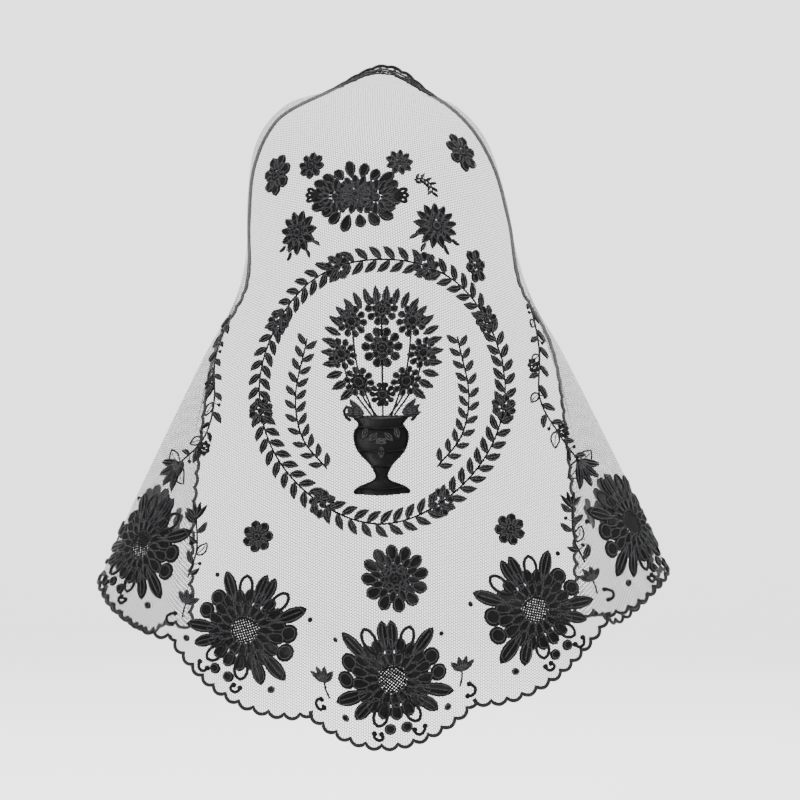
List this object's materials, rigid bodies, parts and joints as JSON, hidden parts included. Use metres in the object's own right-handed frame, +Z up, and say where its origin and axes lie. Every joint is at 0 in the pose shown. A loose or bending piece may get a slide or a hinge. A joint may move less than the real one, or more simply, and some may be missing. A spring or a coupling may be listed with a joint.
{
  "type": "mantilla veil",
  "caption": "Black lace mantilla veil draped as worn: net ground, corded scallop edge, raised flowers, vines and a wreathed urn on the back.",
  "frame": {"origin": "the point of the crown of the head that the net lies on, on the net's inner face", "axes": "+Z up, +Y the way the wearer faces, +X to the wearer's right as seen from behind"},
  "size_m": [0.42, 0.2369, 0.4989],
  "materials": {
    "net_tulle": "fine hexagonal tulle net, matt",
    "embroidery_thread": "satin-stitched rayon thread, soft gloss",
    "edge_cord": "thick twisted cord, soft gloss"
  },
  "bodies": {
    "root": {"net_ground": "net_tulle", "scalloped_edge": "edge_cord", "hem_flower_left_2": "embroidery_thread", "hem_flower_left_1": "embroidery_thread", "hem_flower_middle": "embroidery_thread", "hem_flower_right_1": "embroidery_thread", "hem_flower_right_2": "embroidery_thread", "lower_flower": "embroidery_thread", "crown_spray": "embroidery_thread", "star_flower": "embroidery_thread", "crown_flower_right": "embroidery_thread", "crown_flower_left": "embroidery_thread", "top_flower_left": "embroidery_thread", "temple_flower_left": "embroidery_thread", "temple_flower_right": "embroidery_thread", "side_bud_right": "embroidery_thread", "back_blossom_left": "embroidery_thread", "back_blossom_right": "embroidery_thread", "front_flower_right": "embroidery_thread", "front_flower_left": "embroidery_thread", "corner_flower_right": "embroidery_thread", "corner_flower_left": "embroidery_thread", "crown_tendril": "embroidery_thread", "side_vine_left": "embroidery_thread", "side_vine_right": "embroidery_thread", "hem_sprig_left": "embroidery_thread", "hem_sprig_right": "embroidery_thread", "urn_sprig_left": "embroidery_thread", "urn_sprig_right": "embroidery_thread", "wreath": "embroidery_thread", "urn": "embroidery_thread", "bouquet": "embroidery_thread"}
  },
  "joints": []
}
